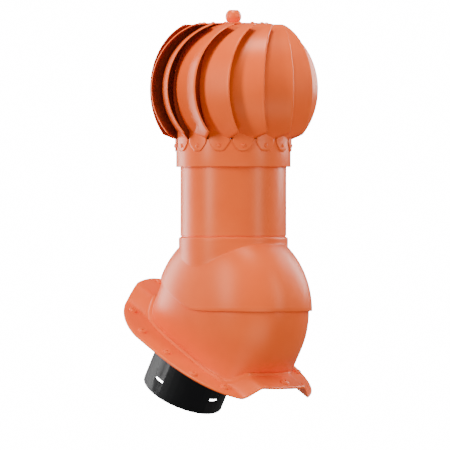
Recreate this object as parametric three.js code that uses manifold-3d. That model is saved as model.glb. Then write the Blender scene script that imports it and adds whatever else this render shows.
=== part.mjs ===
// Rotating roof ventilator: moulded roof seat, tilting hood and a free-turning vaned head.
// Millimetres. +Z runs up the pipe, -Y runs down the roof slope, X follows the eave.
import * as THREE from 'three';
import { mergeVertices } from 'three/addons/utils/BufferGeometryUtils.js';
import Module from 'manifold-3d';

const wasm = await Module();
wasm.setup();

const DEG = Math.PI / 180;
const FIT = 0.3;

// Roof seat frame: u runs down the slope, x along the eave, w square to the roof
const ROOF_PITCH = 30 * DEG;
const TILT_HEIGHT = 80;
const NORMAL = new THREE.Vector3(0, -Math.sin(ROOF_PITCH), Math.cos(ROOF_PITCH));
const DOWNHILL = new THREE.Vector3(0, -Math.cos(ROOF_PITCH), -Math.sin(ROOF_PITCH));
const TILT_CENTRE = new THREE.Vector3(0, 0, TILT_HEIGHT);
const EQUATOR = TILT_HEIGHT * Math.cos(ROOF_PITCH);
const SEAT = TILT_CENTRE.clone().addScaledVector(NORMAL, -EQUATOR);

// Dome, a body turned about the X axis through the tilt centre
const DOME_POWER = 2.4;
const HOOD_RADIUS = 130;
const HOOD_SIDE = 90;
const DOME_STEP = 4.5;
const HOOD_WALL = 2.4;

// Roof base
const BASE_SIDES = 60;
const END_CROWDING = 0.15;
const BASE_WALL = 3;
const PAN = 3.3;
const CREST = { height: 22.5, top: 43, foot: 70 };
const BASE_FOOT = { centre: 0, up: 124, down: 110, side: 77, upPower: 2.75, downPower: 4.5 };
const FLANGE = { centre: -45, up: 128.5, down: 196, side: 129, upPower: 1.7, downPower: 3.1 };
const FLANGE_DROOP = 3;
const RAY_CENTRE = -8;
const FLANGE_ROUND = 1.4;
const BEAD = { inner: 0.6, outer: 5, rise: 3.4, crown: 1.8 };
const OPENING = { lean: 6 * DEG, halfAngle: 49 * DEG };
const FLOOR = { under: 24, thick: 3 };
const DUCT_OFFSET = -31.5;
const BOSS = { radius: 7, rise: 2, hole: 1.6, sides: 8, holeSides: 6 };
const BOSS_ON_PAN = [[-114, 81], [-57, 110], [5, 111], [68, 110], [110, 81]];
const BOSS_ON_CREST = [[-160, 4], [136, 12]];

// Duct pipe under the roof
const DUCT = { radius: 63, wall: 3, rim: -92.7, lip: 72, lipThick: 3, sides: 36 };
const SLOT = { length: 18, height: 4.5, up: 24, depth: 12, count: 4 };

// Hood sleeve and the pipe standing in it
const HOOD_SIDES = 48;
const SLEEVE = { radius: 82, top: 191, round: 2.2, inner: 79 };
const LEDGE = { under: 181, top: 183.7, radius: 76.3 };
const RIM = { slope: Math.tan(28 * DEG), start: 4, blend: 17 };
const PIPE = { radius: 79.5, wall: 1.5, bottom: 184, top: 318, sides: 40 };

// Bearing spider and axle, which carry the turning head
const SPIDER = { bottom: 292, height: 12, wall: 3, arm: 6, hub: 14, sides: 24, hubSides: 12 };
const AXLE = { radius: 6, bottom: 288, sides: 12 };

// Turning head
const VANES = 15;
const PITCH = 360 / VANES;
const FIRST_VANE = 189.8;
const VANE = { centre: 7, level: 413, radius: 101.2, inner: 14, outer: 67.5, thick: 1 };
const VANE_TOP = 509;
const VANE_CORNER = 345.5;
const VANE_ROWS = 8;
const SHOULDER = { inner: 27, share: 0.33 };
const FLAP = { left: 30, right: 41, end: 30 };
const TAB = { left: 15.5, middle: 22.5, right: 45.5, bottom: 319, corner: 8.5, rows: 2 };
const COLLAR = { radius: 86, wall: 1.2, bottom: 296, top: 337, sides: 45 };
const DISC = { radius: 57, thick: 1.2, sides: 30 };
const RIVET = { radius: 3.2, rise: 1.9, sides: 8, level: 327.5, topRadius: 50 };
const TAB_MIDDLE = 20.9;
const FLAP_MIDDLE = 45.8;
const KNOB = { radius: 12.1, half: 10.2, rows: 6, sides: 16 };

const TERRACOTTA = 0xe8743f;
const BLACK = 0x1b1b1c;
const STEEL = 0xa9adb0;

const group = new THREE.Group();

function add(name, geometry, slot, color, roughness, metalness) {
  const material = new THREE.MeshStandardMaterial({ color, roughness, metalness });
  material.name = slot;
  const mesh = new THREE.Mesh(geometry, material);
  mesh.name = name;
  group.add(mesh);
}

function addPlastic(name, geometry) {
  add(name, geometry, 'terracotta_plastic', TERRACOTTA, 0.4, 0);
}

function addPainted(name, geometry) {
  add(name, geometry, 'painted_steel', TERRACOTTA, 0.35, 0.1);
}

// Closed body from triangles, turned so that its faces look outward
function body(points, triangles) {
  let volume = 0;
  for (const [a, b, c] of triangles) {
    volume += points[a].dot(points[b].clone().cross(points[c]));
  }
  const index = [];
  for (const [a, b, c] of triangles) {
    if (volume > 0) {
      index.push(a, b, c);
    } else {
      index.push(a, c, b);
    }
  }
  const geometry = new THREE.BufferGeometry();
  const positions = points.flatMap((point) => point.toArray());
  geometry.setAttribute('position', new THREE.Float32BufferAttribute(positions, 3));
  geometry.setIndex(index);
  return geometry;
}

// Closed body from rings of points, where the last ring joins the first
function ringBody(rings) {
  const sides = rings[0].length;
  const triangles = [];
  for (let row = 0; row < rings.length; row += 1) {
    const next = (row + 1) % rings.length;
    for (let side = 0; side < sides; side += 1) {
      const turn = (side + 1) % sides;
      const a = row * sides + side;
      const b = row * sides + turn;
      const c = next * sides + turn;
      const d = next * sides + side;
      triangles.push([a, b, c], [a, c, d]);
    }
  }
  return body(rings.flat(), triangles);
}

// Sheet of even thickness grown both ways from a middle surface of quads
function sheetBody(points, quads, thick) {
  const normals = points.map(() => new THREE.Vector3());
  const edges = new Map();
  for (const quad of quads) {
    const side = points[quad[1]].clone().sub(points[quad[3]]);
    const face = points[quad[2]].clone().sub(points[quad[0]]).cross(side).normalize();
    quad.forEach((corner, place) => {
      normals[corner].add(face);
      const next = quad[(place + 1) % quad.length];
      const back = `${next},${corner}`;
      if (edges.has(back)) {
        edges.delete(back);
      } else {
        edges.set(`${corner},${next}`, [corner, next]);
      }
    });
  }
  const grown = [];
  for (const half of [thick / 2, -thick / 2]) {
    points.forEach((point, at) => {
      grown.push(point.clone().addScaledVector(normals[at].normalize(), half));
    });
  }
  const under = points.length;
  const triangles = [];
  for (const [a, b, c, d] of quads) {
    triangles.push([a, c, b], [a, d, c]);
    triangles.push([under + a, under + b, under + c], [under + a, under + c, under + d]);
  }
  for (const [a, b] of edges.values()) {
    triangles.push([a, b, under + b], [a, under + b, under + a]);
  }
  return body(grown, triangles);
}

function lathe(outline, sides) {
  const profile = outline.map(([radius, height]) => new THREE.Vector2(radius, height));
  const geometry = new THREE.LatheGeometry(profile, sides);
  geometry.rotateX(Math.PI / 2);
  return weld(geometry);
}

// Tube about the Z axis, open at both ends
function tube(outer, inner, bottom, top, sides) {
  const outline = [[inner, bottom], [outer, bottom], [outer, top], [inner, top], [inner, bottom]];
  return lathe(outline, sides);
}

function weld(geometry) {
  geometry.deleteAttribute('normal');
  geometry.deleteAttribute('uv');
  return mergeVertices(geometry, 1e-4);
}

function solid(geometry) {
  const welded = weld(geometry.clone());
  return new wasm.Manifold(new wasm.Mesh({
    numProp: 3,
    vertProperties: new Float32Array(welded.attributes.position.array),
    triVerts: new Uint32Array(welded.index.array),
  }));
}

function fromSolid(shape) {
  const mesh = shape.getMesh();
  const geometry = new THREE.BufferGeometry();
  geometry.setAttribute('position', new THREE.Float32BufferAttribute(mesh.vertProperties, 3));
  geometry.setIndex(Array.from(mesh.triVerts));
  return geometry;
}

function roofPoint(u, x, w) {
  const point = SEAT.clone().addScaledVector(DOWNHILL, u).addScaledVector(NORMAL, w);
  point.x += x;
  return point;
}

function crest(x) {
  const t = THREE.MathUtils.clamp((Math.abs(x) - CREST.top) / (CREST.foot - CREST.top), 0, 1);
  const eased = t * t * (3 - 2 * t);
  const beyond = Math.max(0, (Math.abs(x) - CREST.foot) / (FLANGE.side - CREST.foot));
  return CREST.height * (1 - (t + eased) / 2) - FLANGE_DROOP * beyond * beyond;
}

// Points around a ring, closer together at its uphill and downhill ends
function ring(sides, crowding, pointAt) {
  return Array.from({ length: sides }, (unused, side) => {
    const turn = (side / sides) * 2 * Math.PI;
    return pointAt(turn - crowding * Math.sin(2 * turn));
  });
}

function baseRing(pointAt) {
  return ring(BASE_SIDES, END_CROWDING, pointAt);
}

// Point on an oval with its own length and squareness uphill and downhill
function ovalPoint(oval, grow, angle) {
  let low = 0;
  let high = oval.up + oval.down;
  for (let step = 0; step < 40; step += 1) {
    const reach = (low + high) / 2;
    const along = RAY_CENTRE + reach * Math.cos(angle) - oval.centre;
    const across = Math.abs(reach * Math.sin(angle)) / (oval.side + grow);
    const length = (along > 0 ? oval.down : oval.up) + grow;
    const power = along > 0 ? oval.downPower : oval.upPower;
    if (Math.abs(along / length) ** power + across ** power < 1) {
      low = reach;
    } else {
      high = reach;
    }
  }
  return [RAY_CENTRE + low * Math.cos(angle), low * Math.sin(angle)];
}

// Distance from the dome axis to its skin at a given rise and heading
function domeReach(inset, rise, angle) {
  const radius = HOOD_RADIUS - inset;
  const side = HOOD_SIDE - inset;
  let low = 0;
  let high = radius;
  for (let step = 0; step < 40; step += 1) {
    const reach = (low + high) / 2;
    const turned = Math.hypot(reach * Math.cos(angle), rise) / radius;
    const across = Math.abs(reach * Math.sin(angle)) / side;
    if (turned ** DOME_POWER + across ** DOME_POWER < 1) {
      low = reach;
    } else {
      high = reach;
    }
  }
  return low;
}

function baseDomePoint(inset, rise, angle) {
  const reach = domeReach(inset, rise, angle);
  return roofPoint(reach * Math.cos(angle), reach * Math.sin(angle), EQUATOR + rise);
}

// Rise at which the base dome meets the plane of its top opening
function openingRise(inset, angle) {
  const facing = new THREE.Vector3(0, -Math.sin(OPENING.lean), Math.cos(OPENING.lean));
  const level = HOOD_RADIUS * Math.cos(OPENING.halfAngle);
  let low = 0;
  let high = HOOD_RADIUS - inset;
  for (let step = 0; step < 40; step += 1) {
    const rise = (low + high) / 2;
    const point = baseDomePoint(inset, rise, angle);
    if (point.sub(TILT_CENTRE).dot(facing) < level) {
      low = rise;
    } else {
      high = rise;
    }
  }
  return low;
}

function baseDomeRings(inset, shares) {
  return shares.map((share) => baseRing((angle) => {
    return baseDomePoint(inset, share * openingRise(inset, angle), angle);
  }));
}

// Base wall between the dome equator and its foot on the flange
function wallPoint(inset, level, angle) {
  const foot = ovalPoint(BASE_FOOT, DOME_STEP - inset, angle);
  const reach = domeReach(inset, 0, angle);
  const drop = (EQUATOR - level) / (EQUATOR - PAN - crest(foot[1]));
  const share = drop * drop;
  const u = THREE.MathUtils.lerp(reach * Math.cos(angle), foot[0], share);
  const x = THREE.MathUtils.lerp(reach * Math.sin(angle), foot[1], share);
  return roofPoint(u, x, level);
}

function wallFootRing(grow, lift) {
  return baseRing((angle) => {
    const [u, x] = ovalPoint(BASE_FOOT, grow, angle);
    return roofPoint(u, x, PAN + crest(x) + lift);
  });
}

function flangeRing(share, inset, lift) {
  return baseRing((angle) => {
    const inside = ovalPoint(BASE_FOOT, BEAD.outer, angle);
    const outside = ovalPoint(FLANGE, -inset, angle);
    const u = THREE.MathUtils.lerp(inside[0], outside[0], share);
    const x = THREE.MathUtils.lerp(inside[1], outside[1], share);
    return roofPoint(u, x, crest(x) + lift);
  });
}

function outerWallRing(share) {
  return baseRing((angle) => {
    const foot = ovalPoint(BASE_FOOT, 0, angle);
    const level = THREE.MathUtils.lerp(EQUATOR, PAN + crest(foot[1]), share);
    return wallPoint(DOME_STEP, level, angle);
  });
}

function ductHoleRing(level) {
  const radius = DUCT.radius + FIT;
  return baseRing((angle) => {
    return roofPoint(DUCT_OFFSET + radius * Math.cos(angle), radius * Math.sin(angle), level);
  });
}

function baseGeometry() {
  const inset = DOME_STEP + BASE_WALL;
  const floorTop = FLOOR.under + FLOOR.thick;
  const innerWall = (level) => baseRing((angle) => wallPoint(inset, level, angle));
  const skirt = baseRing((angle) => {
    const [u, x] = ovalPoint(BASE_FOOT, -BASE_WALL, angle);
    return roofPoint(u, x, crest(x));
  });
  const rings = [
    ...baseDomeRings(DOME_STEP, [1, 0.8, 0.6, 0.4, 0.2, 0]),
    outerWallRing(0.35),
    outerWallRing(0.7),
    wallFootRing(BEAD.inner, BEAD.rise),
    wallFootRing(BEAD.outer / 2, BEAD.crown),
    wallFootRing(BEAD.outer, 0),
    flangeRing(0.5, FLANGE_ROUND, PAN),
    flangeRing(1, FLANGE_ROUND, PAN),
    flangeRing(1, 0, PAN - FLANGE_ROUND),
    flangeRing(1, 0, 0),
    flangeRing(0.5, 0, 0),
    skirt,
    innerWall(FLOOR.under),
    ductHoleRing(FLOOR.under),
    ductHoleRing(floorTop),
    innerWall(floorTop),
    innerWall((floorTop + EQUATOR) / 2),
    ...baseDomeRings(inset, [0, 0.5, 1]),
  ];
  let shape = solid(ringBody(rings));
  const places = [...BOSS_ON_CREST];
  for (const [u, x] of BOSS_ON_PAN) {
    places.push([u, x], [u, -x]);
  }
  for (const [u, x] of places) {
    const height = crest(x) + PAN;
    shape = shape.add(roofCylinder(u, x, height - PAN / 2, height + BOSS.rise, BOSS.radius, BOSS.sides));
  }
  for (const [u, x] of places) {
    const height = crest(x) + PAN;
    const top = height + 2 * BOSS.rise;
    shape = shape.subtract(roofCylinder(u, x, height - 2 * PAN, top, BOSS.hole, BOSS.holeSides));
  }
  return fromSolid(shape);
}

// Upright in roof coordinates: a matrix that stands a Z-axis shape square to the roof
function roofMatrix(u, x, w) {
  const across = new THREE.Vector3(1, 0, 0);
  const along = DOWNHILL.clone().negate();
  const matrix = new THREE.Matrix4().makeBasis(across, along, NORMAL);
  return matrix.setPosition(roofPoint(u, x, w));
}

function roofCylinder(u, x, bottom, top, radius, sides) {
  const geometry = lathe([[0, 0], [radius, 0], [radius, top - bottom], [0, top - bottom]], sides);
  return solid(geometry.applyMatrix4(roofMatrix(u, x, bottom)));
}

function ductGeometry() {
  const inner = DUCT.radius - DUCT.wall;
  const lipUnder = FLOOR.under + FLOOR.thick + FIT - DUCT.rim;
  const lipTop = lipUnder + DUCT.lipThick;
  const outline = [
    [inner, 0],
    [DUCT.radius, 0],
    [DUCT.radius, lipUnder],
    [DUCT.lip, lipUnder],
    [DUCT.lip, lipTop],
    [inner, lipTop],
    [inner, 0],
  ];
  let shape = solid(lathe(outline, DUCT.sides));
  for (let at = 0; at < SLOT.count; at += 1) {
    const cut = new THREE.BoxGeometry(SLOT.length, SLOT.depth, SLOT.height);
    cut.translate(0, DUCT.radius - DUCT.wall / 2, SLOT.up);
    cut.rotateZ((at / SLOT.count) * 2 * Math.PI);
    shape = shape.subtract(solid(cut));
  }
  return fromSolid(shape).applyMatrix4(roofMatrix(DUCT_OFFSET, 0, DUCT.rim));
}

// Hood rim: level on the downhill side, parallel to the roof on the uphill side
function rimRise(y) {
  const past = y - RIM.start;
  return RIM.slope * (past + Math.hypot(past, RIM.blend)) / 2;
}

function hoodPoint(reach, rise, angle) {
  return new THREE.Vector3(reach * Math.sin(angle), -reach * Math.cos(angle), TILT_HEIGHT + rise);
}

function hoodRimRise(inset, angle) {
  let rise = 0;
  for (let step = 0; step < 60; step += 1) {
    rise = rimRise(-domeReach(inset, rise, angle) * Math.cos(angle));
  }
  return rise;
}

// Rise at which the hood dome meets an upright cylinder
function creaseRise(inset, radius, angle) {
  const across = Math.abs(radius * Math.sin(angle)) / (HOOD_SIDE - inset);
  const turned = (HOOD_RADIUS - inset) * (1 - across ** DOME_POWER) ** (1 / DOME_POWER);
  return Math.sqrt(turned ** 2 - (radius * Math.cos(angle)) ** 2);
}

function hoodDomeRings(inset, radius, shares) {
  return shares.map((share) => ring(HOOD_SIDES, 0, (angle) => {
    const low = hoodRimRise(inset, angle);
    const high = creaseRise(inset, radius, angle);
    const rise = THREE.MathUtils.lerp(low, high, Math.sin(share * Math.PI / 2));
    return hoodPoint(domeReach(inset, rise, angle), rise, angle);
  }));
}

function hoodGeometry() {
  const level = (radius, height) => ring(HOOD_SIDES, 0, (angle) => {
    return hoodPoint(radius, height - TILT_HEIGHT, angle);
  });
  const seat = PIPE.radius + FIT;
  const soft = SLEEVE.round;
  const rings = [
    ...hoodDomeRings(0, SLEEVE.radius, [0, 0.25, 0.5, 0.75, 1]),
    level(SLEEVE.radius, SLEEVE.top - soft),
    level(SLEEVE.radius - soft / 3, SLEEVE.top - soft / 3),
    level(SLEEVE.radius - soft, SLEEVE.top),
    level(seat, SLEEVE.top - FIT),
    level(seat, LEDGE.top),
    level(LEDGE.radius, LEDGE.top),
    level(LEDGE.radius, LEDGE.under),
    level(SLEEVE.inner, LEDGE.under),
    ...hoodDomeRings(HOOD_WALL, SLEEVE.inner, [1, 0.8, 0.6, 0.4, 0.2, 0]),
  ];
  return ringBody(rings);
}

function spiderGeometry() {
  const top = SPIDER.bottom + SPIDER.height;
  const outer = PIPE.radius - PIPE.wall - FIT;
  let shape = solid(tube(outer, outer - SPIDER.wall, SPIDER.bottom, top, SPIDER.sides));
  for (const heading of [45, 135]) {
    const arm = new THREE.BoxGeometry(2 * outer - SPIDER.wall, SPIDER.arm, SPIDER.height);
    arm.rotateZ(heading * DEG);
    arm.translate(0, 0, SPIDER.bottom + SPIDER.height / 2);
    shape = shape.add(solid(arm));
  }
  const hub = [[0, SPIDER.bottom], [SPIDER.hub, SPIDER.bottom], [SPIDER.hub, top], [0, top]];
  shape = shape.add(solid(lathe(hub, SPIDER.hubSides)));
  const bore = AXLE.radius + FIT;
  const drill = [[0, SPIDER.bottom - 1], [bore, SPIDER.bottom - 1], [bore, top + 1], [0, top + 1]];
  return fromSolid(shape.subtract(solid(lathe(drill, AXLE.sides))));
}

// Vane: an upright arc drawn straight across, with a tab at the collar and a flap under the disc
function vanePoint(heading, out, across, height) {
  const cos = Math.cos(heading * DEG);
  const sin = Math.sin(heading * DEG);
  return new THREE.Vector3(out * cos - across * sin, out * sin + across * cos, height);
}

function arcPoint(heading, across, turn) {
  const out = VANE.centre + VANE.radius * Math.cos(turn);
  return vanePoint(heading, out, across, VANE.level + VANE.radius * Math.sin(turn));
}

// Turn of the arc at which the vane reaches the collar, or its free bottom edge
function vaneFootTurn(across, tabRadius) {
  const reach = Math.sqrt(tabRadius ** 2 - Math.min(across, TAB.right) ** 2);
  const atTab = -Math.acos((reach - VANE.centre) / VANE.radius);
  const corner = Math.asin((VANE_CORNER - VANE.level) / VANE.radius);
  const share = Math.max(0, (across - TAB.right) / (VANE.outer - TAB.right));
  return THREE.MathUtils.lerp(atTab, corner, share);
}

// Hidden inner edge: drawn in under the disc, then straight down to the tab
function innerEdge(share) {
  const drawn = Math.max(0, 1 - share / SHOULDER.share) ** 2;
  const straight = THREE.MathUtils.lerp(VANE.inner, TAB.left, share * share);
  return THREE.MathUtils.lerp(straight, SHOULDER.inner, drawn);
}

// Lower edge of the tab, rounded up toward both sides
function tabFoot(across) {
  const middle = (TAB.left + TAB.right) / 2;
  const away = Math.abs(across - middle) / (TAB.right - middle);
  return TAB.bottom + TAB.corner * away ** 3;
}

function vaneGeometry(heading) {
  const columns = [TAB.left, TAB.middle, FLAP.left, FLAP.right, TAB.right, VANE.outer];
  const tabRadius = COLLAR.radius + 2 * FIT + VANE.thick / 2;
  const top = Math.asin((VANE_TOP - VANE.level) / VANE.radius);
  const points = [];
  const quads = [];
  const rows = [];
  for (let row = 0; row <= VANE_ROWS; row += 1) {
    const share = row / VANE_ROWS;
    rows.push(columns.map((column) => {
      const along = Math.min(1, (column - TAB.left) / (FLAP.left - TAB.left));
      const drawn = THREE.MathUtils.lerp(innerEdge(share) - TAB.left, 0, along);
      const foot = vaneFootTurn(column, tabRadius);
      const turn = THREE.MathUtils.lerp(top, foot, share);
      points.push(arcPoint(heading, column + drawn, turn));
      return points.length - 1;
    }));
  }
  const tabColumns = columns.filter((across) => across <= TAB.right);
  for (let row = 1; row <= TAB.rows; row += 1) {
    rows.push(tabColumns.map((across, column) => {
      const start = points[rows[VANE_ROWS][column]].z;
      const height = THREE.MathUtils.lerp(start, tabFoot(across), row / TAB.rows);
      const out = Math.sqrt(tabRadius ** 2 - across ** 2);
      points.push(vanePoint(heading, out, across, height));
      return points.length - 1;
    }));
  }
  for (let row = 1; row < rows.length; row += 1) {
    for (let column = 1; column < rows[row].length; column += 1) {
      const above = rows[row - 1];
      const below = rows[row];
      quads.push([above[column - 1], above[column], below[column], below[column - 1]]);
    }
  }
  const left = columns.indexOf(FLAP.left);
  const right = columns.indexOf(FLAP.right);
  points.push(vanePoint(heading, FLAP.end, FLAP.left, VANE_TOP));
  points.push(vanePoint(heading, FLAP.end, FLAP.right, VANE_TOP));
  quads.push([points.length - 2, points.length - 1, rows[0][right], rows[0][left]]);
  return sheetBody(points, quads, VANE.thick);
}

function rivetGeometry() {
  const { radius, rise, sides } = RIVET;
  return lathe([[0, 0], [radius, 0], [radius * 0.72, rise * 0.75], [0, rise]], sides);
}

function knobGeometry(bottom) {
  const tilt = Math.asin(KNOB.half / KNOB.radius);
  const outline = [[0, bottom]];
  for (let row = 0; row <= KNOB.rows; row += 1) {
    const turn = THREE.MathUtils.lerp(-tilt, tilt, row / KNOB.rows);
    outline.push([KNOB.radius * Math.cos(turn), bottom + KNOB.half + KNOB.radius * Math.sin(turn)]);
  }
  outline.push([0, bottom + 2 * KNOB.half]);
  return lathe(outline, KNOB.sides);
}

addPlastic('roof_base', baseGeometry());
add('duct_pipe', ductGeometry(), 'duct_plastic', BLACK, 0.5, 0);
addPlastic('hood', hoodGeometry());
const pipeBore = PIPE.radius - PIPE.wall;
addPainted('outer_pipe', tube(PIPE.radius, pipeBore, PIPE.bottom, PIPE.top, PIPE.sides));
add('bearing_spider', spiderGeometry(), 'bare_steel', STEEL, 0.45, 0.9);

const flapTop = VANE_TOP + VANE.thick / 2;
const discBottom = flapTop + FIT;
const discTop = discBottom + DISC.thick;
const axleTop = discBottom - FIT;
const axleOutline = [[0, AXLE.bottom], [AXLE.radius, AXLE.bottom], [AXLE.radius, axleTop], [0, axleTop]];
add('axle', lathe(axleOutline, AXLE.sides), 'bare_steel', STEEL, 0.45, 0.9);

const collarBore = COLLAR.radius - COLLAR.wall;
addPainted('rotor_collar', tube(COLLAR.radius, collarBore, COLLAR.bottom, COLLAR.top, COLLAR.sides));
const discOutline = [[0, discBottom], [DISC.radius, discBottom], [DISC.radius, discTop], [0, discTop]];
addPainted('top_disc', lathe(discOutline, DISC.sides));
addPainted('knob', knobGeometry(discTop + FIT));

for (let at = 0; at < VANES; at += 1) {
  const heading = FIRST_VANE + at * PITCH;
  const label = String(at + 1).padStart(2, '0');
  addPainted(`vane_${label}`, vaneGeometry(heading));

  const side = rivetGeometry().rotateY(90 * DEG);
  side.translate(COLLAR.radius + VANE.thick + 3 * FIT, 0, RIVET.level);
  addPainted(`collar_rivet_${label}`, side.rotateZ((heading + TAB_MIDDLE) * DEG));

  const cap = rivetGeometry().translate(RIVET.topRadius, 0, discTop + FIT);
  addPainted(`top_rivet_${label}`, cap.rotateZ((heading + FLAP_MIDDLE) * DEG));
}

export default group;
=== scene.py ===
# %% [markdown]
# # A rotating roof ventilator
# The real object is a plastic roof seat and hood with a painted steel pipe and a vaned head that
# the wind turns. The solids are loaded first as a fixed frame, and each visible piece is then
# remodelled over its solid with finer curves, rounded edges and a finish of its own.

# %% Load the frame
import math

import bmesh
import bpy
from mathutils import Matrix, Vector


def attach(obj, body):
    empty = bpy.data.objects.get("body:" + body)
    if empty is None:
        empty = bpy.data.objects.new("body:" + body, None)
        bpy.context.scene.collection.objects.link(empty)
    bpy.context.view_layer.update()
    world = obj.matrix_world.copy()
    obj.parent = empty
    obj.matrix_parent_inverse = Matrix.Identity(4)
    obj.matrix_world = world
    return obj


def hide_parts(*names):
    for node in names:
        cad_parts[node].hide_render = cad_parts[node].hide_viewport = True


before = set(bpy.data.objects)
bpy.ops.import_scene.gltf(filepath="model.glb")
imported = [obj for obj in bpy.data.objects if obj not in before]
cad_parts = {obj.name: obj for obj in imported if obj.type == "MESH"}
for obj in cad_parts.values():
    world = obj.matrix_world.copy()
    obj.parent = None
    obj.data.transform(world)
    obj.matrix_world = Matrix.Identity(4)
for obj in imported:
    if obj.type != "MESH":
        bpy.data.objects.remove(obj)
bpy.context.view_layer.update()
MM = 0.001

# %% [markdown]
# The photograph looks level at the ventilator, halfway between the eave and the slope, with
# almost no perspective. A long lens ten metres away gives the same drawing.

# %% Camera
VIEW_TURN = math.radians(-45)
FRAME_WIDTH = 0.675
CAMERA_DISTANCE = 10.0
LOOK_SIDE, LOOK_UP = -0.0126, 0.209
towards = Vector((math.sin(VIEW_TURN), -math.cos(VIEW_TURN), 0))
sideways = Vector((math.cos(VIEW_TURN), math.sin(VIEW_TURN), 0))
look_at = sideways * LOOK_SIDE + Vector((0, 0, LOOK_UP))

lens = bpy.data.cameras.new("camera")
lens.sensor_width = 36
lens.lens = lens.sensor_width * CAMERA_DISTANCE / FRAME_WIDTH
lens.clip_end = 50
camera = bpy.data.objects.new("camera", lens)
camera.location = look_at + towards * CAMERA_DISTANCE
camera.rotation_euler = towards.to_track_quat("Z", "Y").to_euler()
bpy.context.scene.collection.objects.link(camera)
bpy.context.scene.camera = camera
print("lens:", round(lens.lens), "mm")

# %% [markdown]
# The set is a white room with no floor, because a roof would hold the object. The camera sees a
# plain white backdrop, while the ambient light stays low so that folds and gaps read dark. Two
# strips in front draw upright bands on every round side, a wide fill lifts the shadows from below,
# one lamp above lights the flange, and two lamps behind draw the pale edges.

# %% Light
AMBIENT, BACKDROP = 0.22, 16
MIDDLE = (0, 0, 0.25)


def area_light(name, place, target, size, power):
    lamp = bpy.data.lights.new(name, "AREA")
    lamp.shape = "RECTANGLE"
    lamp.size, lamp.size_y = size
    lamp.energy = power
    holder = bpy.data.objects.new(name, lamp)
    holder.location = place
    holder.rotation_euler = (Vector(place) - Vector(target)).to_track_quat("Z", "Y").to_euler()
    bpy.context.scene.collection.objects.link(holder)


def along_view(side, near, up):
    return sideways * side + towards * near + Vector((0, 0, up))


world = bpy.data.worlds.new("white room")
world.use_nodes = True
room = world.node_tree
ambient = room.nodes["Background"]
ambient.inputs["Color"].default_value = (1, 1, 1, 1)
ambient.inputs["Strength"].default_value = AMBIENT
backdrop = room.nodes.new("ShaderNodeBackground")
backdrop.inputs["Color"].default_value = (1, 1, 1, 1)
backdrop.inputs["Strength"].default_value = BACKDROP
choose = room.nodes.new("ShaderNodeMixShader")
room.links.new(room.nodes.new("ShaderNodeLightPath").outputs["Is Camera Ray"], choose.inputs["Fac"])
room.links.new(ambient.outputs["Background"], choose.inputs[1])
room.links.new(backdrop.outputs["Background"], choose.inputs[2])
room.links.new(choose.outputs["Shader"], room.nodes["World Output"].inputs["Surface"])
bpy.context.scene.world = world

area_light("left strip", along_view(-1.35, 1.0, 0.8), MIDDLE, (0.3, 1.3), 27)
area_light("right strip", along_view(1.35, 0.95, 0.7), MIDDLE, (0.25, 1.3), 13)
area_light("fill", along_view(0.2, 1.7, -0.7), MIDDLE, (1.6, 0.9), 13)
area_light("top", along_view(-0.1, 0.35, 1.9), MIDDLE, (0.5, 0.5), 24)
area_light("left edge", along_view(-1.1, -0.75, 0.25), MIDDLE, (0.6, 1.6), 26)
area_light("right edge", along_view(1.1, -0.75, 0.8), MIDDLE, (0.5, 0.9), 17)
print("lamps:", len(bpy.data.lights))

# %% [markdown]
# Five finishes cover the object. Moulded plastic has a faint cloudiness and a fine skin, sprayed
# steel has a slight orange peel, the duct is black plastic, and the hidden bearing is bare steel.
# The vanes have the sprayed finish with painted shade on their insides: faces turned towards the rotor
# axis are painted darker, so that the gaps between them read deep.
# Each reads Object coordinates in metres, so the grain keeps its real size on every piece.

# %% Finishes
TERRACOTTA_LIGHT = (1.0, 0.135, 0.018, 1)
TERRACOTTA_DEEP = (0.95, 0.12, 0.014, 1)
TERRACOTTA = (TERRACOTTA_LIGHT, TERRACOTTA_DEEP)
WARM_GLINT, WHITE_GLINT = (1.0, 0.6, 0.42, 1), (1, 1, 1, 1)
BLACK = ((0.010, 0.010, 0.011, 1), (0.006, 0.006, 0.007, 1))
STEEL = ((0.62, 0.63, 0.64, 1), (0.5, 0.51, 0.52, 1))
# The first colour is painted shade for the inner faces of the vanes; the height is the rotor centre
# that decides which faces turn inwards.
VANE_PAINTED_SHADE, VANE_MIDDLE = (0.36, 0.055, 0.020, 1), 0.413
MOULDED_SKIN = {"roughness": 0.39, "spread": 0.04, "cloud": 14, "grain": 900, "relief": 0.00006}
SPRAYED_SKIN = {"roughness": 0.35, "spread": 0.04, "cloud": 20, "grain": 500, "relief": 0.00008}
DUCT_SKIN = {"roughness": 0.5, "spread": 0.06, "cloud": 18, "grain": 900, "relief": 0.00006}
STEEL_SKIN = {"roughness": 0.38, "spread": 0.08, "cloud": 30, "grain": 700, "relief": 0.00005}


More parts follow.
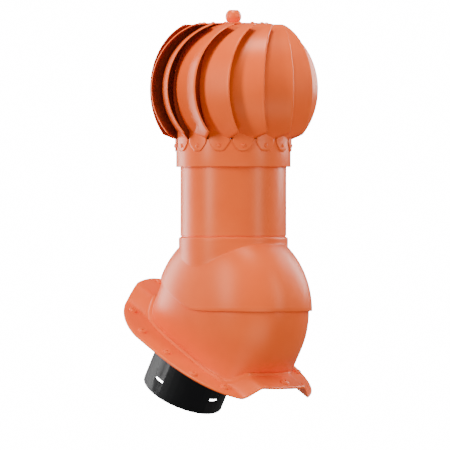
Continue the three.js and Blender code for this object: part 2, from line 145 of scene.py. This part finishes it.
def finish(name, colours, skin, metal=0.0, gloss=0.5, glint=WHITE_GLINT):
    material = bpy.data.materials.new(name)
    material.use_nodes = True
    nodes = material.node_tree.nodes
    links = material.node_tree.links
    shader = nodes["Principled BSDF"]
    shader.inputs["Metallic"].default_value = metal
    shader.inputs["Specular IOR Level"].default_value = gloss
    shader.inputs["Specular Tint"].default_value = glint
    where = nodes.new("ShaderNodeTexCoord").outputs["Object"]

    cloud = nodes.new("ShaderNodeTexNoise")
    cloud.inputs["Scale"].default_value = skin["cloud"]
    cloud.inputs["Detail"].default_value = 4
    links.new(where, cloud.inputs["Vector"])
    tint = nodes.new("ShaderNodeValToRGB")
    tint.color_ramp.elements[0].position = 0.35
    tint.color_ramp.elements[0].color = colours[1]
    tint.color_ramp.elements[1].position = 0.65
    tint.color_ramp.elements[1].color = colours[0]
    links.new(cloud.outputs["Fac"], tint.inputs["Fac"])
    links.new(tint.outputs["Color"], shader.inputs["Base Color"])

    sheen = nodes.new("ShaderNodeMapRange")
    sheen.inputs["To Min"].default_value = skin["roughness"] - skin["spread"]
    sheen.inputs["To Max"].default_value = skin["roughness"] + skin["spread"]
    links.new(cloud.outputs["Fac"], sheen.inputs["Value"])
    links.new(sheen.outputs["Result"], shader.inputs["Roughness"])

    grain = nodes.new("ShaderNodeTexNoise")
    grain.inputs["Scale"].default_value = skin["grain"]
    grain.inputs["Detail"].default_value = 2
    links.new(where, grain.inputs["Vector"])
    bump = nodes.new("ShaderNodeBump")
    bump.inputs["Strength"].default_value = 0.25
    bump.inputs["Distance"].default_value = skin["relief"]
    links.new(grain.outputs["Fac"], bump.inputs["Height"])
    links.new(bump.outputs["Normal"], shader.inputs["Normal"])
    return material


# Paints shade into the base colour: faces whose normal points towards the rotor centre get the darker
# shade colour.
def paint_shade_inside(material, middle, shade_colour):
    nodes = material.node_tree.nodes
    links = material.node_tree.links
    base = nodes["Principled BSDF"].inputs["Base Color"]
    tint = base.links[0].from_socket
    where = nodes.new("ShaderNodeTexCoord")
    away = nodes.new("ShaderNodeVectorMath")
    away.operation = "SUBTRACT"
    away.inputs[1].default_value = (0, 0, middle)
    links.new(where.outputs["Object"], away.inputs[0])
    facing = nodes.new("ShaderNodeVectorMath")
    facing.operation = "DOT_PRODUCT"
    links.new(away.outputs["Vector"], facing.inputs[0])
    links.new(where.outputs["Normal"], facing.inputs[1])
    inside = nodes.new("ShaderNodeMapRange")
    inside.inputs["From Min"].default_value = 0.01
    inside.inputs["From Max"].default_value = -0.03
    links.new(facing.outputs["Value"], inside.inputs["Value"])
    blend = nodes.new("ShaderNodeMix")
    blend.data_type = "RGBA"
    links.new(inside.outputs["Result"], blend.inputs[0])
    links.new(tint, blend.inputs[6])
    blend.inputs[7].default_value = shade_colour
    links.new(blend.outputs[2], base)


moulded = finish("moulded terracotta", TERRACOTTA, MOULDED_SKIN, glint=WARM_GLINT)
sprayed = finish("sprayed terracotta", TERRACOTTA, SPRAYED_SKIN, glint=WARM_GLINT)
# The vane finish carries painted shade on the inner faces of the vanes.
vane_paint_with_painted_shade = finish("vane terracotta with painted shade", TERRACOTTA, SPRAYED_SKIN, glint=WARM_GLINT)
paint_shade_inside(vane_paint_with_painted_shade, VANE_MIDDLE, VANE_PAINTED_SHADE)
duct_black = finish("black duct", BLACK, DUCT_SKIN, gloss=0.2)
bare_steel = finish("bare steel", STEEL, STEEL_SKIN, metal=1.0)
print("finishes:", moulded.name, sprayed.name, duct_black.name, bare_steel.name)

# %% [markdown]
# Two helpers carry the modelling. A bent grid starts as Blender's flat grid and every point is
# moved to its place on the piece, which suits moulded shells and sheet. A turned piece spins a
# short outline about the pipe axis. Both work in millimetres and are scaled once at the end.

# %% Modelling helpers
SHARP_ANGLE = math.radians(38)
WELD = 0.002


def bent_grid(columns, rows, place):
    shape = bmesh.new()
    bmesh.ops.create_grid(shape, x_segments=columns, y_segments=rows, size=0.5)
    for point in shape.verts:
        point.co = place(point.co.x + 0.5, point.co.y + 0.5)
    return shape


def turned(outline, steps):
    shape = bmesh.new()
    points = [shape.verts.new((radius, 0, height)) for radius, height in outline]
    edges = [shape.edges.new(pair) for pair in zip(points, points[1:])]
    bmesh.ops.spin(shape, geom=points + edges, cent=(0, 0, 0), axis=(0, 0, 1), dvec=(0, 0, 0),
                   angle=2 * math.pi, steps=steps, use_merge=True)
    bmesh.ops.remove_doubles(shape, verts=shape.verts, dist=WELD)
    bmesh.ops.recalc_face_normals(shape, faces=shape.faces)
    return shape


def rounded(low, high, turn_from, turn_to, steps=5):
    middle = ((low[0] + high[0]) / 2, (low[1] + high[1]) / 2)
    reach = ((high[0] - low[0]) / 2, (high[1] - low[1]) / 2)
    points = []
    for step in range(steps + 1):
        turn = math.radians(turn_from + (turn_to - turn_from) * step / steps)
        points.append((middle[0] + reach[0] * math.cos(turn), middle[1] + reach[1] * math.sin(turn)))
    return points


def make_piece(shape, name, body, material, nodes):
    bmesh.ops.scale(shape, verts=shape.verts, vec=(MM, MM, MM))
    mesh = bpy.data.meshes.new(name)
    shape.to_mesh(mesh)
    shape.free()
    mesh.materials.append(material)
    mesh.shade_smooth()
    mesh.set_sharp_from_angle(angle=SHARP_ANGLE)
    piece = bpy.data.objects.new(name, mesh)
    bpy.context.scene.collection.objects.link(piece)
    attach(piece, body)
    if nodes:
        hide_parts(*nodes)
    return piece


print("sharp above", round(math.degrees(SHARP_ANGLE)), "degrees")

# %% [markdown]
# The dome is a squarish barrel turned about the eave axis, so that the hood can tilt to suit the
# roof. Its skin has no simple formula along a given heading, so the reach is found by halving.

# %% Dome shape shared by hood and base
TILT_HEIGHT = 80.0
HOOD_RADIUS, HOOD_SIDE, DOME_POWER = 130.0, 90.0, 2.4
DOME_STEP, HOOD_WALL, BASE_WALL = 4.5, 2.4, 3.0


def halve(low, high, inside, steps=34):
    for _ in range(steps):
        middle = (low + high) / 2
        low, high = (middle, high) if inside(middle) else (low, middle)
    return low


def mix(start, end, share):
    return start + (end - start) * share


def dome_reach(inset, rise, angle):
    radius, side = HOOD_RADIUS - inset, HOOD_SIDE - inset
    along, across = math.cos(angle), abs(math.sin(angle))

    def inside(reach):
        round_share = math.hypot(reach * along, rise) / radius
        side_share = reach * across / side
        return round_share ** DOME_POWER + side_share ** DOME_POWER < 1

    return halve(0, radius, inside)


print("dome reach at the equator:", round(dome_reach(0, 0, 0)), "mm downhill")

# %% [markdown]
# The hood is one moulding: a barrel dome whose rim is level downhill and follows the roof uphill,
# growing into a short sleeve for the pipe. It is drawn as rings from the rim up the outside, over
# the rounded lip of the sleeve and back down the inside, and the grid closes on itself.

# %% Hood rings
SLEEVE_RADIUS, SLEEVE_TOP, SLEEVE_BORE = 82.0, 191.0, 79.8
SLEEVE_INNER, LEDGE_RADIUS, LEDGE_UNDER, LEDGE_TOP = 79.0, 76.3, 181.0, 183.7
RIM_SLOPE, RIM_START, RIM_BLEND = math.tan(math.radians(28)), 4.0, 17.0
HOOD_COLUMNS = 168


def hood_point(reach, rise, angle):
    return Vector((reach * math.sin(angle), -reach * math.cos(angle), TILT_HEIGHT + rise))


def rim_rise(inset, angle):
    rise = 0.0
    for _ in range(24):
        past = -dome_reach(inset, rise, angle) * math.cos(angle) - RIM_START
        rise = RIM_SLOPE * (past + math.hypot(past, RIM_BLEND)) / 2
    return rise


def crease_rise(inset, radius, angle):
    across = abs(radius * math.sin(angle)) / (HOOD_SIDE - inset)
    turned_radius = (HOOD_RADIUS - inset) * (1 - across ** DOME_POWER) ** (1 / DOME_POWER)
    return math.sqrt(turned_radius ** 2 - (radius * math.cos(angle)) ** 2)


def hood_dome(inset, radius, share, lift=0.0):
    limits = {}

    def place(angle):
        if angle not in limits:
            limits[angle] = (rim_rise(inset, angle), crease_rise(inset, radius, angle))
        low, high = limits[angle]
        rise = mix(low + lift, high, math.sin(share * math.pi / 2))
        return hood_point(dome_reach(inset, rise, angle), rise, angle)

    return place


def hood_level(radius, height):
    return lambda angle: hood_point(radius, height - TILT_HEIGHT, angle)


def hood_sleeve(share):
    def place(angle):
        low = crease_rise(0, SLEEVE_RADIUS, angle)
        return hood_point(SLEEVE_RADIUS, mix(low, SLEEVE_TOP - 3 - TILT_HEIGHT, share), angle)

    return place


hood_rings = [hood_dome(0.7, SLEEVE_RADIUS, 0), hood_dome(0.2, SLEEVE_RADIUS, 0, 0.25)]
hood_rings += [hood_dome(0, SLEEVE_RADIUS, step / 26, 0.8) for step in range(27)]
crease_row = len(hood_rings) - 1
hood_rings += [hood_sleeve(step / 6) for step in range(1, 7)]
lip = rounded((SLEEVE_RADIUS - 5, SLEEVE_TOP - 6), (SLEEVE_RADIUS, SLEEVE_TOP), 0, 90)[1:]
hood_rings += [hood_level(max(radius, SLEEVE_BORE), height) for radius, height in lip]
hood_rings += [hood_level(SLEEVE_BORE, LEDGE_TOP), hood_level(LEDGE_RADIUS, LEDGE_TOP)]
hood_rings += [hood_level(LEDGE_RADIUS, LEDGE_UNDER), hood_level(SLEEVE_INNER, LEDGE_UNDER)]
hood_rings += [hood_dome(HOOD_WALL, SLEEVE_INNER, step / 12) for step in range(12, -1, -1)]
hood_rings.append(hood_rings[0])
print("hood rings:", len(hood_rings))

# %% [markdown]
# The grid is bent on to the rings, its seams are welded, and the sharp meeting line of dome and
# sleeve is smoothed into the small fillet that the moulding has there.

# %% Hood
FILLET_PASSES = 5


def ringed(rings, columns, crowding=0.0):
    last = len(rings) - 1
    placed = {}

    def place(across, up):
        side = round(across * columns) % columns
        row = round(up * last)
        if (side, row) not in placed:
            turn = 2 * math.pi * side / columns
            placed[(side, row)] = Vector(rings[row](turn - crowding * math.sin(2 * turn)))
        return placed[(side, row)]

    shape = bent_grid(columns, last, place)
    print("grid points:", len(shape.verts), "distinct:", len(placed))
    return shape, placed


def rounded_off(place):
    return tuple(round(value, 3) for value in place)


hood_shape, hood_places = ringed(hood_rings, HOOD_COLUMNS)
bmesh.ops.remove_doubles(hood_shape, verts=hood_shape.verts, dist=WELD)
near_crease = set()
for row in range(crease_row - 2, crease_row + 3):
    near_crease.update(rounded_off(hood_places[(side, row)]) for side in range(HOOD_COLUMNS))
fillet = [point for point in hood_shape.verts if rounded_off(point.co) in near_crease]
for _ in range(FILLET_PASSES):
    bmesh.ops.smooth_vert(hood_shape, verts=fillet, factor=0.5,
                          use_axis_x=True, use_axis_y=True, use_axis_z=True)
bmesh.ops.recalc_face_normals(hood_shape, faces=hood_shape.faces)
make_piece(hood_shape, "hood_shell", "hood", moulded, ["hood"])
print("hood fillet points:", len(fillet))

# %% [markdown]
# The roof base is the other half of the dome standing on a flange that follows the roof covering:
# two pans and a raised crest between them. It works in roof terms: u down the slope, x along the
# eave and w square to the roof. The flange outline is an oval, rounder uphill than at the eave.

# %% Roof base outlines
PITCH = math.radians(30)
EQUATOR = TILT_HEIGHT * math.cos(PITCH)
SEAT = Vector((0, EQUATOR * math.sin(PITCH), TILT_HEIGHT - EQUATOR * math.cos(PITCH)))
PAN = 3.3
CREST_HEIGHT, CREST_TOP, CREST_FOOT, FLANGE_SIDE, FLANGE_DROOP = 22.5, 43.0, 70.0, 129.0, 3.0
BASE_FOOT = {"centre": 0, "up": 124, "down": 110, "side": 77, "up_power": 2.75, "down_power": 4.5}
FLANGE = {"centre": -45, "up": 128.5, "down": 196, "side": FLANGE_SIDE,
          "up_power": 1.7, "down_power": 3.1}
RAY_CENTRE = -8.0
BASE_COLUMNS, END_CROWDING = 200, 0.15


def roof_point(u, x, w):
    along = -math.cos(PITCH) * u - math.sin(PITCH) * w
    up = -math.sin(PITCH) * u + math.cos(PITCH) * w
    return SEAT + Vector((x, along, up))


def crest(x):
    share = min(1, max(0, (abs(x) - CREST_TOP) / (CREST_FOOT - CREST_TOP)))
    eased = share * share * (3 - 2 * share)
    beyond = max(0, (abs(x) - CREST_FOOT) / (FLANGE_SIDE - CREST_FOOT))
    return CREST_HEIGHT * (1 - (share + eased) / 2) - FLANGE_DROOP * beyond * beyond


def oval_point(oval, grow, angle):
    def inside(reach):
        along = RAY_CENTRE + reach * math.cos(angle) - oval["centre"]
        end = "down" if along > 0 else "up"
        power = oval[end + "_power"]
        across = abs(reach * math.sin(angle)) / (oval["side"] + grow)
        return abs(along / (oval[end] + grow)) ** power + across ** power < 1

    reach = halve(0, oval["up"] + oval["down"], inside)
    return RAY_CENTRE + reach * math.cos(angle), reach * math.sin(angle)


print("crest at the middle:", crest(0), "mm, at the edge:", round(crest(FLANGE_SIDE), 1), "mm")

# %% [markdown]
# The rings of the base run from the opening inside the hood down the dome and wall, over a small
# bead at the foot, across the flange and round its edge, then back under it to the duct hole and
# up the inside to the opening again.

# %% Roof base rings
OPENING_LEAN, OPENING_LEVEL = math.radians(6), HOOD_RADIUS * math.cos(math.radians(49))
FLOOR_UNDER, FLOOR_TOP = 24.0, 27.0
DUCT_OFFSET, DUCT_HOLE = -31.5, 63.3
BEAD_FOOT = 6
BEAD = [(0.3, 3.4), (0.9, 2.9), (2.0, 3.0), (3.2, 2.9), (4.3, 2.2), (5.0, 1.1), (BEAD_FOOT, 0)]
FLANGE_EDGE = [(1.6, 0), (0.7, 0.4), (0.1, 1.1), (0, 1.8)]


def base_dome(inset, share):
    opening = Vector((0, -math.sin(OPENING_LEAN), math.cos(OPENING_LEAN)))
    centre = Vector((0, 0, TILT_HEIGHT))

    def at(rise, angle):
        reach = dome_reach(inset, rise, angle)
        return roof_point(reach * math.cos(angle), reach * math.sin(angle), EQUATOR + rise)

    def place(angle):
        def below(rise):
            return (at(rise, angle) - centre).dot(opening) < OPENING_LEVEL

        return at(halve(0, HOOD_RADIUS - inset, below, 20) * share, angle)

    return place


def wall_at(inset, level, angle):
    foot_u, foot_x = oval_point(BASE_FOOT, DOME_STEP - inset, angle)
    reach = dome_reach(inset, 0, angle)
    share = ((EQUATOR - level) / (EQUATOR - PAN - crest(foot_x))) ** 2
    u = mix(reach * math.cos(angle), foot_u, share)
    x = mix(reach * math.sin(angle), foot_x, share)
    return roof_point(u, x, level)


def outer_wall(share):
    def place(angle):
        foot = PAN + crest(oval_point(BASE_FOOT, 0, angle)[1])
        return wall_at(DOME_STEP, mix(EQUATOR, foot, share), angle)

    return place


def inner_wall(level):
    return lambda angle: wall_at(DOME_STEP + BASE_WALL, level, angle)


def foot_ring(grow, lift):
    def place(angle):
        u, x = oval_point(BASE_FOOT, grow, angle)
        return roof_point(u, x, PAN + crest(x) + lift)

    return place


def flange_ring(share, inset, lift):
    def place(angle):
        inside = oval_point(BASE_FOOT, BEAD_FOOT, angle)
        outside = oval_point(FLANGE, -inset, angle)
        x = mix(inside[1], outside[1], share)
        return roof_point(mix(inside[0], outside[0], share), x, crest(x) + lift)

    return place


def under_foot(angle):
    u, x = oval_point(BASE_FOOT, -BASE_WALL, angle)
    return roof_point(u, x, crest(x))


def duct_ring(level):
    def place(angle):
        return roof_point(DUCT_OFFSET + DUCT_HOLE * math.cos(angle), DUCT_HOLE * math.sin(angle), level)

    return place


base_rings = [base_dome(DOME_STEP, 1 - step / 12) for step in range(13)]
base_rings += [outer_wall(step / 14) for step in range(1, 14)]
base_rings += [foot_ring(grow, lift) for grow, lift in BEAD]
base_rings += [flange_ring(step / 10, FLANGE_EDGE[0][0], PAN) for step in range(1, 11)]
base_rings += [flange_ring(1, inset, PAN - drop) for inset, drop in FLANGE_EDGE[1:]]
base_rings += [flange_ring(1, 0.3, 0.2)] + [flange_ring(1 - step / 6, 0.8, 0) for step in range(7)]
base_rings += [under_foot, inner_wall(FLOOR_UNDER), duct_ring(FLOOR_UNDER)]
base_rings += [duct_ring(FLOOR_TOP), inner_wall(FLOOR_TOP)]
base_rings += [inner_wall(mix(FLOOR_TOP, EQUATOR, step / 4)) for step in range(1, 4)]
base_rings += [base_dome(DOME_STEP + BASE_WALL, step / 8) for step in range(9)]
base_rings.append(base_rings[0])
print("base rings:", len(base_rings))

# %% [markdown]
# The grid is bent on to these rings too. Columns are crowded towards the two ends of the slope,
# where the outline turns fastest.

# %% Roof base
base_shape, _ = ringed(base_rings, BASE_COLUMNS, END_CROWDING)
bmesh.ops.remove_doubles(base_shape, verts=base_shape.verts, dist=WELD)
bmesh.ops.recalc_face_normals(base_shape, faces=base_shape.faces)
make_piece(base_shape, "roof_base_shell", "base", moulded, ["roof_base"])

# %% [markdown]
# Screw bosses stand round the flange, each a low round pad with a small hole. One turned outline
# is copied to every place and stood square to the roof.

# %% Screw bosses
BOSS_ON_PAN = [(-114, 81), (-57, 110), (5, 111), (68, 110), (110, 81)]
BOSS_ON_CREST = [(-160, 4), (136, 12)]
boss_places = BOSS_ON_CREST + [(u, side * x) for u, x in BOSS_ON_PAN for side in (1, -1)]
BOSS_HOLE = [(0, -0.6), (1.6, -0.6), (1.6, 2.6)]
BOSS_PAD = [(2.1, 3.1), (5.0, 3.1), (6.3, 2.5), (6.9, 1.3), (7.0, -0.8)]
boss_shape = bmesh.new()
for u, x in boss_places:
    boss = turned(BOSS_HOLE + BOSS_PAD, 28)
    slope = (crest(x + 1) - crest(x - 1)) / 2
    normal = (roof_point(u, x, 1) - roof_point(u, x, 0)) - Vector((slope, 0, 0))
    lean = normal.to_track_quat("Z", "Y").to_matrix().to_4x4()
    stand = Matrix.Translation(roof_point(u, x, crest(x) + PAN)) @ lean
    bmesh.ops.transform(boss, matrix=stand, verts=boss.verts)
    part = bpy.data.meshes.new("boss")
    boss.to_mesh(part)
    boss.free()
    boss_shape.from_mesh(part)
    bpy.data.meshes.remove(part)
make_piece(boss_shape, "screw_bosses", "base", moulded, [])
print("bosses:", len(boss_places))

# %% [markdown]
# The pipe, the collar and the top disc are sheet or tube turned about the pipe axis. Their edges
# are rounded in the outline, because a rolled or cut edge always catches a thin line of light. A
# shallow groove round the pipe draws the dark line above the sleeve.

# %% Pipe, collar, disc and knob
PIPE_RADIUS, PIPE_WALL, PIPE_BOTTOM, PIPE_TOP = 79.5, 1.5, 184.0, 318.0
GROOVE = [(0, 0.2), (1.1, 0.5), (1.1, 1.7), (0, 2.0)]
COLLAR_RADIUS, COLLAR_WALL, COLLAR_BOTTOM, COLLAR_TOP = 86.0, 1.2, 296.0, 337.0
DISC_RADIUS, DISC_BOTTOM, DISC_TOP = 57.0, 508.9, 511.0
KNOB_RADIUS, KNOB_HALF, KNOB_GAP = 12.1, 10.2, 0.3
EDGE_STEPS = 8


def tube_outline(radius, wall, bottom, top):
    lower = rounded((radius - wall, bottom), (radius, bottom + wall), 180, 360, EDGE_STEPS)
    upper = rounded((radius - wall, top - wall), (radius, top), 0, 180, EDGE_STEPS)
    return lower + upper + [lower[0]]


pipe_line = tube_outline(PIPE_RADIUS, PIPE_WALL, PIPE_BOTTOM, PIPE_TOP)
groove = [(PIPE_RADIUS - depth, SLEEVE_TOP + up) for depth, up in GROOVE]
pipe = turned(pipe_line[:EDGE_STEPS + 1] + groove + pipe_line[EDGE_STEPS + 1:], 144)
make_piece(pipe, "pipe_shell", "hood", sprayed, ["outer_pipe"])
collar = turned(tube_outline(COLLAR_RADIUS, COLLAR_WALL, COLLAR_BOTTOM, COLLAR_TOP), 150)
make_piece(collar, "collar_ring", "rotor", sprayed, ["rotor_collar"])
disc_edge = rounded((DISC_RADIUS - 1.2, DISC_BOTTOM), (DISC_RADIUS, DISC_TOP), -90, 90, EDGE_STEPS)
disc = turned([(0, DISC_BOTTOM)] + disc_edge + [(0, DISC_TOP)], 120)
make_piece(disc, "cap_disc", "rotor", sprayed, ["top_disc"])
knob_centre = DISC_TOP + KNOB_GAP + KNOB_HALF
knob_tilt = math.degrees(math.asin(KNOB_HALF / KNOB_RADIUS))
knob_low = (-KNOB_RADIUS, knob_centre - KNOB_RADIUS)
knob_high = (KNOB_RADIUS, knob_centre + KNOB_RADIUS)
knob_side = rounded(knob_low, knob_high, -knob_tilt, knob_tilt, 20)
knob = turned([(0, knob_centre - KNOB_HALF)] + knob_side + [(0, knob_centre + KNOB_HALF)], 56)
make_piece(knob, "cap_knob", "rotor", sprayed, ["knob"])
print("turned pieces: 4")

# %% [markdown]
# Each vane is a strip of sheet bent to one arc and set across the head, so that its outer edge
# stands clear of the next vane and is rolled inwards into a hem. Its foot narrows to a tab that
# wraps the collar. The grid is bent to that shape, and what lies beside the tab is cut away.

# %% Vane shape
VANES, FIRST_VANE = 15, 189.8
ARC_CENTRE, ARC_LEVEL, ARC_RADIUS = 7.0, 413.0, 101.2
VANE_INNER, VANE_OUTER, VANE_TOP, VANE_CORNER = 14.0, 67.5, 509.0, 345.5
SHOULDER_INNER, SHOULDER_SHARE = 27.0, 0.33
TAB_LEFT, TAB_RIGHT, TAB_BOTTOM, TAB_CORNER, TAB_FLAT = 15.5, 45.5, 319.0, 14.5, 0.3
TAB_RADIUS, SHEET = COLLAR_RADIUS + 1.1, 0.9
TAB_COLUMNS, FREE_COLUMNS, HEM_COLUMNS, ARC_ROWS, TAB_ROWS = 14, 12, 4, 40, 8
HEM_ROLL = 1.7


def vane_across(column, share):
    shoulder = max(0, 1 - share / SHOULDER_SHARE) ** 2
    edge = mix(mix(VANE_INNER, TAB_LEFT, share * share), SHOULDER_INNER, shoulder)
    if column <= TAB_COLUMNS:
        return mix(edge, TAB_RIGHT, column / TAB_COLUMNS)
    flat = FREE_COLUMNS - HEM_COLUMNS
    if column <= TAB_COLUMNS + flat:
        return mix(TAB_RIGHT, VANE_OUTER - HEM_ROLL, (column - TAB_COLUMNS) / flat)
    return VANE_OUTER


def foot_turn(across):
    reach = math.sqrt(TAB_RADIUS ** 2 - min(across, TAB_RIGHT) ** 2)
    corner = math.asin((VANE_CORNER - ARC_LEVEL) / ARC_RADIUS)
    free = max(0, (across - TAB_RIGHT) / (VANE_OUTER - TAB_RIGHT))
    return mix(-math.acos((reach - ARC_CENTRE) / ARC_RADIUS), corner, free)


def vane_place(heading):
    out_way = Vector((math.cos(heading), math.sin(heading), 0))
    across_way = Vector((-math.sin(heading), math.cos(heading), 0))
    top = math.asin((VANE_TOP - ARC_LEVEL) / ARC_RADIUS)

    def place(side, down):
        column = round(side * (TAB_COLUMNS + FREE_COLUMNS))
        row = round(down * (ARC_ROWS + TAB_ROWS))
        share = min(1, row / ARC_ROWS)
        across = vane_across(column, share)
        turn = mix(top, foot_turn(vane_across(column, 1)), share)
        roll = max(0, column - TAB_COLUMNS - FREE_COLUMNS + HEM_COLUMNS) / HEM_COLUMNS * math.pi / 2
        across += HEM_ROLL * (math.sin(roll) - 1) if roll else 0
        radius = ARC_RADIUS - HEM_ROLL * (1 - math.cos(roll))
        out = ARC_CENTRE + radius * math.cos(turn)
        height = ARC_LEVEL + radius * math.sin(turn)
        if row > ARC_ROWS:
            away = abs(across - (TAB_LEFT + TAB_RIGHT) / 2) / ((TAB_RIGHT - TAB_LEFT) / 2)
            corner = max(0, (min(1, away) - TAB_FLAT) / (1 - TAB_FLAT))
            foot = TAB_BOTTOM + TAB_CORNER * corner ** 1.5
            height = mix(height, foot, (row - ARC_ROWS) / TAB_ROWS)
            out = math.sqrt(max(0, TAB_RADIUS ** 2 - across ** 2))
        return out_way * out + across_way * across + Vector((0, 0, height))

    return place


def vane_shape(heading):
    columns, rows = TAB_COLUMNS + FREE_COLUMNS, ARC_ROWS + TAB_ROWS
    beyond = []
    shape = bmesh.new()
    bmesh.ops.create_grid(shape, x_segments=columns, y_segments=rows, size=0.5)
    place = vane_place(heading)
    for point in shape.verts:
        side, down = point.co.x + 0.5, point.co.y + 0.5
        if round(side * columns) > TAB_COLUMNS and round(down * rows) > ARC_ROWS:
            beyond.append(point)
        else:
            point.co = place(side, down)
    bmesh.ops.delete(shape, geom=beyond, context="VERTS")
    bmesh.ops.recalc_face_normals(shape, faces=shape.faces)
    return shape


# %% [markdown]
# The same shape is made for each heading, and Solidify gives it the thickness of the sheet.

# %% Vanes
for at in range(VANES):
    heading = math.radians(FIRST_VANE + at * 360 / VANES)
    label = f"{at + 1:02d}"
    vane = make_piece(vane_shape(heading), f"vane_sheet_{label}", "rotor", vane_paint_with_painted_shade,
                      [f"vane_{label}"])
    sheet_wall = vane.modifiers.new("sheet", "SOLIDIFY")
    sheet_wall.thickness = SHEET * MM
    sheet_wall.offset = 0
print("vanes:", VANES, "points each:", len(vane.data.vertices))

# %% [markdown]
# Rivets hold each tab to the collar and each vane under the disc. They are low domes, turned and
# placed round the head: standing out of the collar, and standing up on the disc.

# %% Rivets
RIVET_RADIUS, RIVET_RISE, RIVET_LEVEL, TOP_RIVET_RADIUS = 3.2, 1.9, 327.5, 50.0
TAB_MIDDLE, FLAP_MIDDLE = 20.9, 45.8
RIVET_SINK, RIVET_STAND = 0.3, 0.5


def rivet_ring(name, stand, offset, nodes):
    shape = bmesh.new()
    for at in range(VANES):
        dome = rounded((-RIVET_RADIUS, -RIVET_RISE), (RIVET_RADIUS, RIVET_RISE), 0, 90, 6)
        rivet = turned([(RIVET_RADIUS, -RIVET_SINK)] + dome[:-1] + [(0, RIVET_RISE)], 20)
        turn = Matrix.Rotation(math.radians(FIRST_VANE + offset + at * 360 / VANES), 4, "Z")
        bmesh.ops.transform(rivet, matrix=turn @ stand, verts=rivet.verts)
        part = bpy.data.meshes.new("rivet")
        rivet.to_mesh(part)
        rivet.free()
        shape.from_mesh(part)
        bpy.data.meshes.remove(part)
    make_piece(shape, name, "rotor", sprayed, nodes)


outward = Matrix.Translation((TAB_RADIUS + RIVET_STAND, 0, RIVET_LEVEL))
outward = outward @ Matrix.Rotation(math.pi / 2, 4, "Y")
rivet_ring("collar_rivets", outward, TAB_MIDDLE, [f"collar_rivet_{at + 1:02d}" for at in range(VANES)])
upward = Matrix.Translation((TOP_RIVET_RADIUS, 0, DISC_TOP))
rivet_ring("disc_rivets", upward, FLAP_MIDDLE, [f"top_rivet_{at + 1:02d}" for at in range(VANES)])
print("rivets:", 2 * VANES)

# %% [markdown]
# The duct stub keeps the shape of its solid, slots included: a welded copy is shaded smooth. The
# bearing inside the pipe keeps its solids and only gets the bare steel finish.

# %% Duct and bearing
duct_shape = bmesh.new()
duct_shape.from_mesh(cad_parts["duct_pipe"].data)
bmesh.ops.scale(duct_shape, verts=duct_shape.verts, vec=(1 / MM, 1 / MM, 1 / MM))
bmesh.ops.remove_doubles(duct_shape, verts=duct_shape.verts, dist=WELD)
duct = make_piece(duct_shape, "duct_stub", "base", duct_black, ["duct_pipe"])
for node in ("bearing_spider", "axle"):
    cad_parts[node].data.materials.clear()
    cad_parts[node].data.materials.append(bare_steel)
print("duct points:", len(duct.data.vertices))
